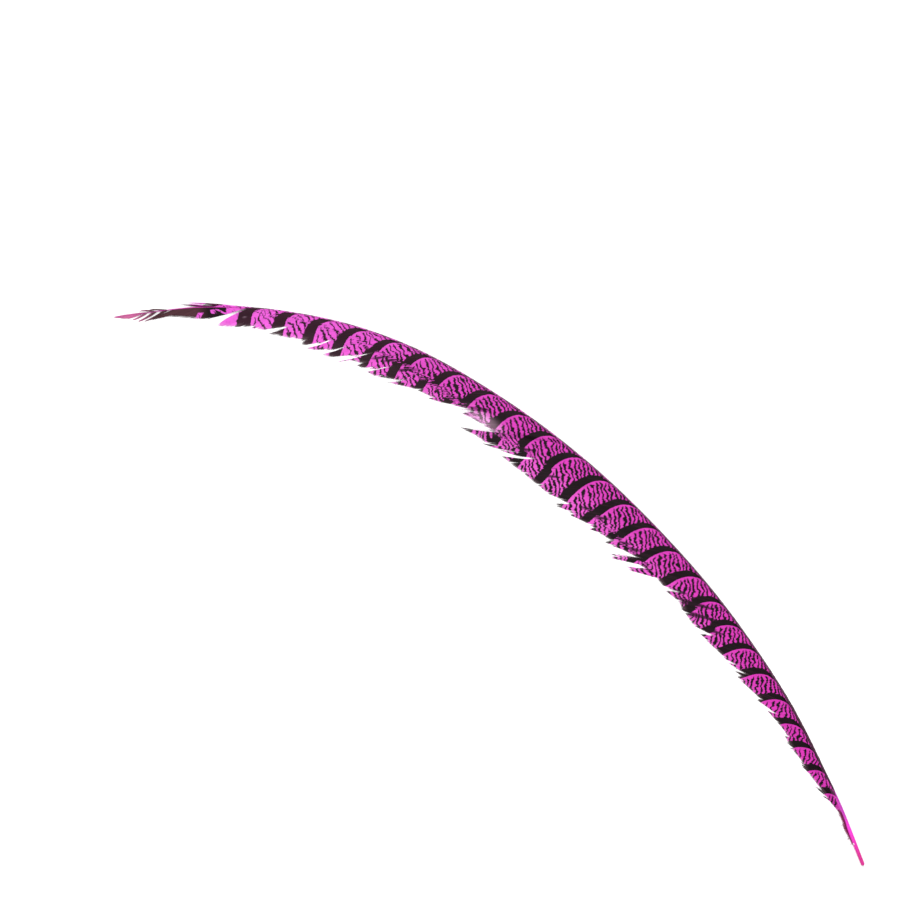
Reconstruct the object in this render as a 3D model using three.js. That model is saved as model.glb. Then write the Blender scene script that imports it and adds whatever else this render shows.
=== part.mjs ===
// A pheasant's side tail feather, dyed magenta, lying on a surface with its outer face up. Millimetres, +Z up.
//
// X runs along the straight line from the tip (-X) to the quill's end (+X), and the shaft bows towards +Y.
// A "station" is a distance along the shaft from the quill's end. The shaft is the ridge of a low roof: the
// narrow vane drops steeply from it on the bow's outer side, and the wide vane slopes down on the inner side
// until it lies flat on the surface.

import * as THREE from 'three';

// Driving dimensions.
const SHAFT_LENGTH = 660;
const SHAFT_LINE = [ // X and Y of the shaft's middle, from the quill's end to the tip
  [303.6, 0.6], [270.8, 21.0], [248.0, 33.3], [191.1, 61.2], [126.2, 83.8], [61.1, 98.2],
  [-3.8, 106.0], [-70.6, 106.1], [-137.0, 97.8], [-196.9, 77.6], [-257.1, 42.4], [-304.1, -0.3],
];
const SHAFT_RISE = [ // height of the shaft's middle
  [0, 1.35], [45, 1.4], [110, 2.2], [200, 3.3], [330, 4.0], [450, 3.4], [540, 2.1], [600, 1.0], [660, 0.22],
];
const SHAFT_HALF_WIDTH = [
  [0, 1.2], [20, 1.35], [45, 1.45], [75, 1.1], [120, 0.8], [330, 0.6], [520, 0.42], [600, 0.32], [660, 0.16],
];
const SHAFT_HALF_DEPTH = [
  [0, 1.2], [20, 1.35], [60, 1.4], [130, 1.25], [330, 1.0], [520, 0.65], [600, 0.42], [660, 0.16],
];
const SHAFT_ROOF = [[0, 0], [55, 0], [110, 0.4], [600, 0.4], [660, 0]]; // the share that it narrows to its top
const SHAFT_SIDES = 10;
const SHAFT_STEP = 6;

const GAP = 0.35; // left between pieces that meet
const SHEET = 0.5; // thickness of a vane
const INNER_LIP = 0.05; // the narrow vane's inner face is at least this high
const LEAST_REACH = 0.6; // of a vane beyond its inner edge
const ATTACH = 0.4; // share of the shaft's half depth above its middle, where the vanes meet it
const END_SCALE = 0.5; // of the small ring that rounds each end of the shaft
const END_LENGTH = 1.2; // over which an end is rounded
const STEP = 5; // between the lines of barbs that a vane's solid is made of

// How far barbs reach from the shaft's middle, square to it, by the station of their root. The short steep
// drops are the places where the vane has split and its edge steps back.
const WIDE_START = 34;
const WIDE_END = 569.5;
const WIDE_REACH = [
  [33, 1.9], [36, 3.8], [42, 9.2], [43.5, 6], [52, 8.2], [57, 10.3], [62, 9.6], [70, 11.8], [79, 11.9],
  [80, 10.4], [84, 10.6], [96, 14.2], [97, 11], [103, 16.3], [106, 14.6], [119, 19.1], [122, 16.6],
  [124.5, 18.4], [126, 13.4], [130.5, 19.2], [132, 15], [134.5, 19], [152.5, 23.1], [155, 17.6], [160, 22.9],
  [175, 22.2], [182, 20.8], [190, 22.9], [192.5, 16.5], [195, 21.9], [203, 21.5], [206, 31], [208.5, 31],
  [210.5, 23.1], [214, 24.7], [216, 34.7], [219, 32.5], [221, 22], [227, 25], [232, 30.3], [235, 26.6],
  [242, 28.6], [244.5, 31.3], [247, 28], [258.5, 33.2], [260, 30.6], [266, 34.1], [268.5, 32.8], [270, 27.4],
  [280, 31.7], [309, 31.2], [317, 30.6], [320, 22.9], [327, 29.5], [331.5, 32], [334, 29.4], [342, 30.2],
  [344, 18.8], [352, 18.5], [361, 19.4], [370, 19.5], [372, 16.1], [374, 16.2], [384, 22.6], [390.5, 24.3],
  [392, 22.7], [404, 23.2], [416.5, 26.6], [418, 21.8], [428, 25.7], [436.5, 25.1], [438, 21.1], [444, 23.8],
  [449, 23.4], [450, 20.9], [457.5, 22], [458.5, 26], [460, 16.6], [468.5, 22.7], [474.5, 22.8], [476, 17.6],
  [484, 21], [488.5, 20.8], [489.5, 15], [495, 18.9], [499, 18.4], [503, 15.6], [518, 15.9], [525, 15.3],
  [526, 9.2], [534, 12.9], [542.5, 12.7], [544, 11.1], [552.5, 12.7], [554, 11.4], [566.5, 11.4], [568, 8],
  [569.5, 3.6],
];
const TIP_START = 574;
const TIP_END = 652;
const TIP_REACH = [[574, 5.6], [578, 8.3], [590, 6.8], [600, 6], [616, 4.4], [640, 2.2], [652, 1.2]];
const NARROW_START = 52;
const NARROW_END = 606;
const NARROW_WIDTH = [
  [52, 0.4], [62, 1.0], [85, 2.3], [150, 3.6], [330, 4.6], [450, 4.1], [540, 2.7], [575, 1.7], [606, 1.7],
];
const NARROW_PITCH = [[52, 72], [90, 76], [150, 82], [560, 80], [590, 50], [606, 12]]; // degrees below level

// The smooth width within which the wide vane comes down to the surface, and the part of it that slopes.
const DRAPE_WIDTH = [
  [34, 4], [43, 6], [75, 11], [120, 18], [160, 22], [220, 27], [270, 32], [350, 31], [430, 25], [500, 18],
  [570, 11], [600, 6], [652, 2],
];
const DRAPE_SHARE = 0.7;

// A barb leaves the shaft at a small angle and bends outwards to a wider one, both in degrees from the shaft.
const BARB_ROOT_ANGLE = 20;
const BARB_OUTER_ANGLE = [
  [0, 40], [150, 38], [250, 36], [310, 33], [345, 29], [380, 30], [460, 31], [560, 29], [590, 19], [660, 15],
];
const BARB_BEND = 4; // distance from the shaft over which it bends

const DOWN_START = 17;
const DOWN_END = 36;
const DOWN_REACH = [[17, 2], [24, 3.1], [29, 3.4], [36, 2.5]];
const DOWN_STEP = 2;
const DOWN_HEIGHT = [1, 0.1]; // of its underside, beside the shaft and at its outer edge

const DEGREE = Math.PI / 180;

// A smooth curve through [station, value] knots: cubics that cross each knot at the slope between its
// neighbours.
function along(knots, s) {
  const last = knots.length - 1;
  const x = Math.min(Math.max(s, knots[0][0]), knots[last][0]);
  let i = 0;
  while (i < last - 1 && x > knots[i + 1][0]) i += 1;
  const slope = (j) => {
    const a = knots[Math.max(j - 1, 0)];
    const b = knots[Math.min(j + 1, last)];
    return (b[1] - a[1]) / (b[0] - a[0]);
  };
  const width = knots[i + 1][0] - knots[i][0];
  const t = (x - knots[i][0]) / width;
  const h = t * t * (3 - 2 * t);
  const start = t * (1 - t) * (1 - t) * width * slope(i);
  const end = t * t * (t - 1) * width * slope(i + 1);
  return knots[i][1] * (1 - h) + knots[i + 1][1] * h + start + end;
}

// Straight lines between the knots, for edges with steps.
function stepwise(knots, s) {
  let i = 0;
  while (i < knots.length - 2 && s > knots[i + 1][0]) i += 1;
  const t = Math.min(Math.max((s - knots[i][0]) / (knots[i + 1][0] - knots[i][0]), 0), 1);
  return knots[i][1] * (1 - t) + knots[i + 1][1] * t;
}

// The shaft's plan curve, with its point and its square direction (towards the wide vane) at any station.
const planPoints = SHAFT_LINE.map(([x, y]) => new THREE.Vector3(x, y, 0));
const plan = new THREE.CatmullRomCurve3(planPoints, false, 'catmullrom', 0.5);
plan.arcLengthDivisions = 2400;

function onPlan(s, v) {
  const u = Math.min(Math.max(s / SHAFT_LENGTH, 0), 1);
  const point = plan.getPointAt(u);
  const way = plan.getTangentAt(u);
  return new THREE.Vector2(point.x - way.y * v, point.y + way.x * v);
}

// The height at which the vanes meet the shaft.
function rootHeight(s) {
  return along(SHAFT_RISE, s) + ATTACH * along(SHAFT_HALF_DEPTH, s);
}

// How far towards the tip a barb has swept when it is v from the shaft's middle.
function sweep(s, v) {
  const outer = 1 / Math.tan(along(BARB_OUTER_ANGLE, s) * DEGREE);
  const root = 1 / Math.tan(BARB_ROOT_ANGLE * DEGREE);
  return v * outer + Math.max(root - outer, 0) * BARB_BEND * (1 - Math.exp(-v / BARB_BEND));
}

// The underside's height: half a wave, level at the shaft and level again where the vane lies on the surface.
function drape(s, v) {
  const t = Math.min(v / (DRAPE_SHARE * along(DRAPE_WIDTH, s)), 1);
  return Math.max(rootHeight(s) - SHEET / 2, 0) * (0.5 + 0.5 * Math.cos(Math.PI * t));
}

// A closed body lofted through rings of points, all of one count, with a flat fan over each end.
function loft(rings) {
  const count = rings[0].length;
  const corners = rings.flat().flatMap((p) => [p.x, p.y, p.z]);
  const faces = [];
  for (let i = 0; i < rings.length - 1; i += 1) {
    for (let j = 0; j < count; j += 1) {
      const a = i * count + j;
      const b = i * count + ((j + 1) % count);
      faces.push(a, b, b + count, a, b + count, a + count);
    }
  }
  const end = (rings.length - 1) * count;
  for (let j = 1; j < count - 1; j += 1) {
    faces.push(0, j + 1, j, end, end + j, end + j + 1);
  }
  const body = new THREE.BufferGeometry();
  body.setAttribute('position', new THREE.Float32BufferAttribute(corners, 3));
  body.setIndex(faces);
  body.computeVertexNormals();
  return body;
}

function stations(start, end, step) {
  const count = Math.ceil((end - start) / step);
  return Array.from({ length: count + 1 }, (_, i) => start + ((end - start) * i) / count);
}

// The shaft: a ring at each station, egg-shaped beyond the calamus, and a smaller ring that rounds each end.
function shaftRing(s, scale) {
  const rise = along(SHAFT_RISE, s);
  const half = along(SHAFT_HALF_WIDTH, s) * scale;
  const depth = along(SHAFT_HALF_DEPTH, s) * scale;
  const roof = along(SHAFT_ROOF, s);
  return Array.from({ length: SHAFT_SIDES }, (_, j) => {
    const turn = (2 * Math.PI * (j + 0.5)) / SHAFT_SIDES - Math.PI / 2;
    const lift = Math.sin(turn);
    const flat = onPlan(s, half * Math.cos(turn) * (1 - roof * Math.max(lift, 0)));
    const floor = Math.sin(Math.PI / SHAFT_SIDES - Math.PI / 2);
    return new THREE.Vector3(flat.x, flat.y, Math.max(rise + (depth * lift) / -floor, 0));
  });
}

function shaft() {
  const full = stations(END_LENGTH, SHAFT_LENGTH - END_LENGTH, SHAFT_STEP);
  const rings = full.map((s) => shaftRing(s, 1));
  return loft([shaftRing(0, END_SCALE), ...rings, shaftRing(SHAFT_LENGTH, END_SCALE)]);
}

// A sheet with a barb's line at each station: its underside from the shaft outwards, then its top on the way
// back.
function sheet(start, end, step, shares, under) {
  const rings = stations(start, end, step).map((s) => {
    const low = shares.map((share) => under(s, share));
    const high = low.map((p) => new THREE.Vector3(p.x, p.y, p.z + SHEET)).reverse();
    return [...low, ...high];
  });
  return loft(rings);
}

// A point of a vane's underside: share 0 is beside the shaft and share 1 at the end of the barb.
function wideUnder(reach) {
  return (s, share) => {
    const inner = along(SHAFT_HALF_WIDTH, s) + GAP;
    const v = inner + (Math.max(stepwise(reach, s), inner + LEAST_REACH) - inner) * share;
    const place = Math.min(s + sweep(s, v), SHAFT_LENGTH);
    const flat = onPlan(place, v);
    return new THREE.Vector3(flat.x, flat.y, drape(s, v));
  };
}

function wideVane() {
  return sheet(WIDE_START, WIDE_END, STEP, [0, 0.25, 0.5, 0.75, 1], wideUnder(WIDE_REACH));
}

function tipVane() {
  return sheet(TIP_START, TIP_END, STEP, [0, 0.5, 1], wideUnder(TIP_REACH));
}

// The narrow vane hangs from the shaft's other side. Its section is a slab square to its own slope.
function narrowVane() {
  const rings = stations(NARROW_START, NARROW_END, STEP).map((s) => {
    const inner = along(SHAFT_HALF_WIDTH, s) + GAP;
    const pitch = along(NARROW_PITCH, s) * DEGREE;
    const top = rootHeight(s) + SHEET / 2;
    const width = along(NARROW_WIDTH, s);
    const corner = (out, down) => {
      const flat = onPlan(s, -(inner + out));
      return new THREE.Vector3(flat.x, flat.y, Math.max(top - down, 0));
    };
    const out = width * Math.cos(pitch);
    const down = width * Math.sin(pitch);
    return [
      corner(0, 0),
      corner(SHEET * Math.sin(pitch), 0),
      corner(SHEET * Math.sin(pitch) + out, down),
      corner(out, down + SHEET * Math.cos(pitch)),
      corner(0, SHEET * Math.cos(pitch) + INNER_LIP),
    ];
  });
  return loft(rings);
}

// The tuft of down beside the calamus, where the wide vane begins.
function baseDown() {
  return sheet(DOWN_START, DOWN_END, DOWN_STEP, [0, 0.5, 1], (s, share) => {
    const inner = along(SHAFT_HALF_WIDTH, s) + GAP;
    const flat = onPlan(s, inner + (along(DOWN_REACH, s) - inner) * share);
    return new THREE.Vector3(flat.x, flat.y, THREE.MathUtils.lerp(...DOWN_HEIGHT, share));
  });
}

const MAGENTA = new THREE.MeshStandardMaterial({ color: 0xe23fb8, roughness: 0.3, metalness: 0 });
const VANE_PINK = new THREE.MeshStandardMaterial({ color: 0xd94cc0, roughness: 0.7, metalness: 0 });
const TIP_BROWN = new THREE.MeshStandardMaterial({ color: 0x583c40, roughness: 0.75, metalness: 0 });
const DOWN_BROWN = new THREE.MeshStandardMaterial({ color: 0x6f2448, roughness: 0.85, metalness: 0 });

const feather = new THREE.Group();
const pieces = [
  ['shaft', shaft(), MAGENTA],
  ['wide_vane', wideVane(), VANE_PINK],
  ['tip_vane', tipVane(), TIP_BROWN],
  ['narrow_vane', narrowVane(), VANE_PINK],
  ['base_down', baseDown(), DOWN_BROWN],
];
for (const [name, body, finish] of pieces) {
  const mesh = new THREE.Mesh(body, finish);
  mesh.name = name;
  feather.add(mesh);
}

// The origin is the middle of the bounding box's bottom.
const box = new THREE.Box3().setFromObject(feather);
feather.position.set(-(box.min.x + box.max.x) / 2, -(box.min.y + box.max.y) / 2, -box.min.z);

export default feather;
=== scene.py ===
"""A pheasant's side tail feather, dyed magenta, lying on a pale surface with its outer face up.

Every barb is a closed ribbon of its own, and the vanes' markings are worked out from where a point lies on
the feather. Lengths are in millimetres until a mesh is made. A "station" is a distance along the shaft from
the quill's end, and "out" is the distance from the shaft's middle, square to it.
"""

import math

import bpy
import numpy as np
from mathutils import Matrix, Vector


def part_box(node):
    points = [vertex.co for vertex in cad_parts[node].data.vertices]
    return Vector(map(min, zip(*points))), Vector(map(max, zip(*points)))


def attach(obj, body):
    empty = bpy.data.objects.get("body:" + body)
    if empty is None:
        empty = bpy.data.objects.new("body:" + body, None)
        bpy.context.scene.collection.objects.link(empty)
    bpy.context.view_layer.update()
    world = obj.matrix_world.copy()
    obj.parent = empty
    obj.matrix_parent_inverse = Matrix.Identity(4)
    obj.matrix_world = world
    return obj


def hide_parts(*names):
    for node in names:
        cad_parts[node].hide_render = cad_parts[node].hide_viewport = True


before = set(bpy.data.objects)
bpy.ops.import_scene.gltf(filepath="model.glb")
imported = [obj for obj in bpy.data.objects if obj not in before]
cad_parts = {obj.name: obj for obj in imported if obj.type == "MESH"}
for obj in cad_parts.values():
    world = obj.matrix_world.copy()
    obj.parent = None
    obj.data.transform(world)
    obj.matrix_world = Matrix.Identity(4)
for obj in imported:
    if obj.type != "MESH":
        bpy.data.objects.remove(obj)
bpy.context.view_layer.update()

# ---- The feather's plan and section, as in the CAD model but for the narrow vane's pitch ----

MM = 0.001  # metres
SHAFT_LENGTH = 660
SHAFT_LINE = [  # X and Y of the shaft's middle, from the quill's end to the tip
    (303.6, 0.6), (270.8, 21), (248, 33.3), (191.1, 61.2), (126.2, 83.8), (61.1, 98.2),
    (-3.8, 106), (-70.6, 106.1), (-137, 97.8), (-196.9, 77.6), (-257.1, 42.4), (-304.1, -0.3),
]
SHAFT_RISE = [(0, 1.35), (45, 1.4), (110, 2.2), (200, 3.3), (330, 4), (450, 3.4), (540, 2.1), (600, 1),
              (660, 0.22)]
SHAFT_HALF_WIDTH = [(0, 1.2), (20, 1.35), (45, 1.45), (75, 1.1), (120, 0.8), (330, 0.6), (520, 0.42),
                    (600, 0.32), (660, 0.16)]
SHAFT_HALF_DEPTH = [(0, 1.2), (20, 1.35), (60, 1.4), (130, 1.25), (330, 1), (520, 0.65), (600, 0.42),
                    (660, 0.16)]
SHAFT_ROOF = [(0, 0), (55, 0), (110, 0.4), (600, 0.4), (660, 0)]
ATTACH = 0.4  # share of the shaft's half depth above its middle, where the vanes meet it
SHEET = 0.5  # thickness of a vane's solid

WIDE_START, WIDE_END = 33, 571.5
WIDE_REACH = [
    (33, 1.9), (36, 3.8), (38, 4.8), (38.4, 7.3), (39.2, 7.3), (39.6, 4.6), (43.5, 6), (52, 8.2),
    (57, 10.3), (62, 9.6), (70, 11.8), (79, 11.9),
    (80, 10.4), (84, 10.6), (96, 14.2), (97, 11), (103, 16.3), (106, 14.6), (119, 19.1), (122, 16.6),
    (124.5, 18.4), (126, 13.4), (130.5, 19.2), (132, 15), (134.5, 19), (152.5, 23.1), (155, 17.6),
    (160, 22.9), (175, 22.2), (182, 20.8), (190, 22.9), (192.5, 16.5), (195, 21.9), (203, 21.5), (206, 31),
    (208.5, 31), (210.5, 23.1), (214, 24.7), (216, 34.7), (219, 32.5), (221, 22), (227, 25), (232, 30.3),
    (235, 26.6), (242, 28.6), (244.5, 31.3), (247, 28), (258.5, 33.2), (260, 30.6), (266, 34.1),
    (268.5, 32.8), (270, 27.4), (280, 31.7), (309, 31.2), (316.8, 31), (317, 20.2), (318.6, 20.6),
    (319, 25.5), (323, 28.5), (323.6, 24), (324.2, 29.5), (328, 31.4), (329, 27), (332, 29.6), (338, 29.2),
    (344.6, 30.2), (345, 20.2), (352, 20.6), (361, 20.9), (368.5, 21.8), (370.5, 19.5), (372, 16.3),
    (374, 16.2), (384, 22.6), (390.5, 24.3), (392, 22.7), (404, 23.2), (416.6, 26.6), (417.3, 20.6),
    (418.3, 20.6), (418.5, 22.2), (428, 25.7), (436.8, 25.1), (437.5, 17.8), (438.7, 17.8), (438.9, 21.3),
    (444, 23.8), (449, 23.4), (450, 20.9), (457.5, 22), (458.5, 26), (459.3, 14.4), (460.8, 14.4),
    (461, 17.2), (468.5, 22.7), (474.5, 22.8), (475.2, 14.6), (476.5, 14.6), (476.7, 17.8), (484, 21),
    (488.5, 20.8), (489.2, 13), (490.6, 13), (490.8, 15.8), (495, 18.9), (499, 18.4), (503, 15.6),
    (518, 15.9), (525, 15.3), (526, 9.2), (534, 12.9), (542.5, 12.7), (544, 11.1), (552.5, 12.7),
    (554, 11.8), (560.8, 12.7), (565.8, 12.1), (567.6, 10.5), (568.9, 8.2), (570, 4.7), (571.5, 2),
]
TIP_START, TIP_END = 574, 621
TIP_REACH = [(574, 4), (575.5, 6), (578, 7.9), (583, 7.8), (590, 7), (600, 5.7), (610, 4.6), (614, 4.9),
             (618, 5.4), (621, 5)]
NARROW_START, NARROW_END = 52, 592
NARROW_WIDTH = [(52, 0.2), (62, 1), (85, 2.3), (150, 3.6), (330, 4.6), (450, 4.1), (540, 2.7), (575, 1.7),
                (606, 1.7)]
NARROW_PITCH = [  # degrees below level: the barbs hang a little less steeply than the solid's sheet
    (52, 50), (62, 48), (82, 54), (105, 61), (130, 70), (165, 76.5), (250, 79.5), (350, 79.5), (450, 78),
    (540, 76), (575, 63), (590, 50), (606, 12),
]
DRAPE_WIDTH = [(34, 4), (43, 6), (75, 11), (120, 18), (160, 22), (220, 27), (270, 32), (350, 31), (430, 25),
               (500, 18), (570, 11), (600, 6), (652, 2)]
DRAPE_SHARE = 0.7  # of that width, from the shaft to where the vane lies flat
BARB_ROOT_ANGLE = 20  # degrees from the shaft
BARB_OUTER_ANGLE = [(0, 40), (150, 38), (250, 36), (310, 33), (345, 29), (380, 30), (460, 31), (560, 29),
                    (590, 19), (660, 15)]
BARB_BEND = 4  # distance from the shaft over which a barb bends outwards


def along(knots, s):
    """Cubics through [station, value] knots that cross each knot at the slope between its neighbours."""
    x, y = np.array(knots, float).T
    slope = np.gradient(y, x)
    slope[1:-1] = (y[2:] - y[:-2]) / (x[2:] - x[:-2])
    s = np.clip(s, x[0], x[-1])
    i = np.clip(np.searchsorted(x, s, side="right") - 1, 0, len(x) - 2)
    width = x[i + 1] - x[i]
    t = (s - x[i]) / width
    bend = t * (1 - t) * width * ((1 - t) * slope[i] - t * slope[i + 1])
    return y[i] + (y[i + 1] - y[i]) * t * t * (3 - 2 * t) + bend


def stepwise(knots, s):
    """Straight lines between [station, value] knots."""
    x, y = np.array(knots, float).T
    return np.interp(s, x, y)


def smooth(x, low, high):
    """0 below low, 1 above high, and 3t^2 - 2t^3 of the share t between them."""
    t = np.clip((x - low) / (high - low), 0, 1)
    return t * t * (3 - 2 * t)


def trace_plan(points, fineness=400):
    """A uniform Catmull-Rom curve: each stretch is the cubic whose end slopes are half the step between the
    points on either side, and the line's own first and last steps stand in for the missing neighbours."""
    p = np.array(points, float)
    p = np.vstack([2 * p[0] - p[1], p, 2 * p[-1] - p[-2]])
    t = np.linspace(0, 1, fineness, endpoint=False)[None, :, None]
    a, b, c, d = (p[i:len(p) - 3 + i, None, :] for i in range(4))
    cubic = 0.5 * (2 * b + (c - a) * t + (2 * a - 5 * b + 4 * c - d) * t**2 + (3 * b - a - 3 * c + d) * t**3)
    line = np.vstack([cubic.reshape(-1, 2), p[-2]])
    return line, np.concatenate([[0], np.cumsum(np.linalg.norm(np.diff(line, axis=0), axis=1))])


PLAN, PLAN_RUN = trace_plan(SHAFT_LINE)
PLAN_RUN = PLAN_RUN * SHAFT_LENGTH / PLAN_RUN[-1]
PLAN_WAY = np.gradient(PLAN, PLAN_RUN, axis=0)


def on_plan(s, out):
    """X and Y of the point that lies `out` to the concave side of the shaft at station s. Past the tip the
    line runs straight on."""
    x, y = (np.interp(s, PLAN_RUN, PLAN[:, i]) for i in (0, 1))
    wx, wy = (np.interp(s, PLAN_RUN, PLAN_WAY[:, i]) for i in (0, 1))
    past = np.maximum(s - SHAFT_LENGTH, 0)
    return x - wy * out + wx * past, y + wx * out + wy * past


def root_height(s):
    """The height at which the vanes meet the shaft."""
    return along(SHAFT_RISE, s) + ATTACH * along(SHAFT_HALF_DEPTH, s)


def outer_slope(s):
    """Tipward run of a barb for each millimetre outwards, far from the shaft."""
    return 1 / np.tan(np.radians(along(BARB_OUTER_ANGLE, s)))


def extra_slope(s):
    """What is added to that run where the barb leaves the shaft at its small root angle."""
    return np.maximum(1 / math.tan(math.radians(BARB_ROOT_ANGLE)) - outer_slope(s), 0)


def sweep(s, out):
    """How far towards the tip a barb has swept: its outer slope times the distance, plus the extra slope
    dying away over the bend."""
    return out * outer_slope(s) + extra_slope(s) * BARB_BEND * (1 - np.exp(-out / BARB_BEND))


def lean(s, out):
    """The sine and cosine of the angle between the barb and the shaft."""
    run = outer_slope(s) + extra_slope(s) * np.exp(-out / BARB_BEND)
    return 1 / np.hypot(1, run), run / np.hypot(1, run)


def drape(s, out):
    """Height of the vane's underside: half a cosine wave from the shaft down to the surface, then level."""
    t = np.minimum(out / (DRAPE_SHARE * along(DRAPE_WIDTH, s)), 1)
    return np.maximum(root_height(s) - SHEET / 2, 0) * (0.5 + 0.5 * np.cos(np.pi * t))


def frame_shift():
    """How far the CAD model's origin lies from this plan's: the middle of the shaft's own box against the
    middle of its sides' box worked out here."""
    s = np.linspace(0, SHAFT_LENGTH, 1200)
    sides = [on_plan(s, k * along(SHAFT_HALF_WIDTH, s)) for k in (-1, 0, 1)]
    found = [(np.min(c) + np.max(c)) / 2 for c in zip(*sides)]
    low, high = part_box("shaft")
    return np.array([(low[i] + high[i]) / 2 / MM - found[i] for i in (0, 1)] + [0.0])


SHIFT = frame_shift()

# ---- Meshes ----

UPPER = (True, True, False, False)  # which walls of a ribbon face up
CHART_SIZE = [0.98, 0.47]  # of each half of the bake's map
CHART_EDGE = [0.01, 0.01]
OVER_SURFACE = 0.00001  # metres that every point keeps from the surface
KEEL = 0.7  # depth of a ribbon's keel as a share of its ridge's height


class Tubes:
    """Closed tubes: rings [tube, step, corner, xyz] joined by four-sided walls, with a flat cap at each end.
    `values` holds what each corner carries, and `chart` its place on the flattened vane, or on a round
    piece's side laid flat, where `around` is the side's whole height."""

    def __init__(self, rings, chart, around=0.0, **values):
        count, steps, corners = rings.shape[:3]
        index = np.arange(count * steps * corners).reshape(count, steps, corners)
        near, far = index[:, :-1], index[:, 1:]
        walls = np.stack([near, np.roll(near, -1, 2), np.roll(far, -1, 2), far], -1)
        self.points = rings.reshape(-1, 3)
        self.walls = walls.reshape(-1, 4)
        self.caps = np.concatenate([index[:, 0, ::-1], index[:, -1]])
        chart = np.stack(chart, -1).reshape(-1, 2)
        self.wall_chart, self.cap_chart = chart[self.walls], chart[self.caps]
        self.wall_chart[corners - 1::corners, 1:3, 1] += around
        self.upper = np.resize(True if around else UPPER, corners)[np.arange(len(self.walls)) % corners]
        self.values = {}
        for name, value in values.items():
            value = np.broadcast_to(value, rings.shape[:3] + value.shape[3:])
            self.values[name] = value.reshape((-1,) + value.shape[3:])


def joined(parts):
    """Several sets of tubes as one, for a piece that is made of them."""
    whole = parts[0]
    for part in parts[1:]:
        part.walls += len(whole.points)
        part.caps += len(whole.points)
        for key in ("points", "walls", "caps", "upper", "wall_chart", "cap_chart"):
            setattr(whole, key, np.concatenate([getattr(whole, key), getattr(part, key)]))
        whole.values = {k: np.concatenate([v, part.values[k]]) for k, v in whole.values.items()}
    return whole


def added(name, data):
    """A new object in the scene."""
    made = bpy.data.objects.new(name, data)
    bpy.context.scene.collection.objects.link(made)
    return made


def build(name, tubes, finish, node, shaded_round=False):
    """Makes the piece: its mesh in metres, its carried values as point attributes, and its map for a bake,
    whose lower half holds the faces that look up and whose upper half the others."""
    mesh = bpy.data.meshes.new(name)
    places = (tubes.points + SHIFT) * MM
    places[:, 2] = np.maximum(places[:, 2], OVER_SURFACE)
    loops = np.concatenate([tubes.walls.ravel(), tubes.caps.ravel()])
    sides = np.repeat([4, tubes.caps.shape[1]], [len(tubes.walls), len(tubes.caps)])
    mesh.vertices.add(len(places))
    mesh.vertices.foreach_set("co", places.astype(np.float32).ravel())
    mesh.loops.add(len(loops))
    mesh.loops.foreach_set("vertex_index", loops.astype(np.int32))
    mesh.polygons.add(len(sides))
    mesh.polygons.foreach_set("loop_start", (np.cumsum(sides) - sides).astype(np.int32))
    mesh.polygons.foreach_set("use_smooth", np.full(len(sides), shaded_round))
    for key, value in tubes.values.items():
        vector = value.ndim == 2
        layer = mesh.attributes.new(key, "FLOAT_VECTOR" if vector else "FLOAT", "POINT")
        layer.data.foreach_set("vector" if vector else "value", value.astype(np.float32).ravel())
    spot = np.concatenate([tubes.wall_chart.reshape(-1, 2), tubes.cap_chart.reshape(-1, 2)])
    low, high = spot.min(0), spot.max(0)
    spot = (spot - low) / (high - low) * CHART_SIZE + CHART_EDGE
    turned = np.repeat(np.concatenate([~tubes.upper, np.zeros(len(tubes.caps), bool)]), sides)
    spot[:, 1] += 0.5 * turned
    layer = mesh.uv_layers.new(name="OFBake")
    layer.uv.foreach_set("vector", spot.astype(np.float32).ravel())
    mesh.update(calc_edges=True)
    mesh.validate()
    mesh.materials.append(finish)
    piece = added(name, mesh)
    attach(piece, "root")
    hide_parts(node)


def unit(v):
    """v over its own length."""
    return v / np.maximum(np.linalg.norm(v, axis=-1, keepdims=True), 1e-12)


def ribbon_rings(centre, normal, half_width, ridge, tilt):
    """Rings of a four-cornered section carried along each centre line: a wing to either side in the vane's
    surface, a ridge on top and a shallower keel below. The tilt, below zero on the narrow side, lifts the
    tipward wing and lowers the other, so that the barbs lie on each other like tiles."""
    way = unit(np.gradient(centre, axis=1))
    up = unit(normal - way * (normal * way).sum(-1, keepdims=True))
    across = np.cross(up, way)
    w, r = half_width[..., None], ridge[..., None]
    wings = across * w
    lift = up * w * tilt
    corners = [centre + wings - lift, centre + up * r, centre - wings + lift, centre - up * KEEL * r]
    return np.stack(corners, 2)


# ---- Markings: bars, fine wavy lines, wear and painted shade along splits, by the place on the flattened vane ----

BAR_OUT = 6.5  # how far out from the shaft a bar's station is given
BARS = [  # station of a bar's lower edge and the bar's number
    (53.7, 0), (88.1, 2), (124.1, 4), (164.1, 6), (202.7, 8), (246.6, 10), (289.5, 12), (336, 14),
    (382.2, 16), (431, 18), (478.8, 20), (501.5, 21), (523.6, 22), (545, 23), (567.8, 24), (597.7, 25),
    (640, 26),
]
BAR_WIDTH = [(40, 4.8), (300, 5.4), (470, 6), (530, 7.4), (567, 9.6), (600, 11)]
BAR_WIDENS = (0.2, 6, 20)  # share by which it gets wider, and where out that starts and ends
ARC_RUN = [(0, 5), (60, 6.5), (80, 9), (105, 12.6), (480, 12.6), (530, 7), (571, 4)]  # how far it curves
ARC_OUT = [(0, 6.6), (480, 6.6), (530, 4), (571, 3)]  # and over what distance from the feather's outer edge
TAIL_RUN = [(0, 8), (60, 9), (105, 16.4), (480, 16.4), (571, 6)]  # then a thin tail beside the shaft, so long
TAIL_OUT = 0.79  # and so wide
EDGE_OUT = 1.4  # the shaft's middle from the feather's outer edge
NARROW_DARK = [  # least share of the way to the next bar that is dark on the narrow vane
    (50, 1.1), (220, 1.05), (290, 0.85), (400, 0.55), (500, 0.35), (570, 0.2), (620, 0.2),
]
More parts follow.
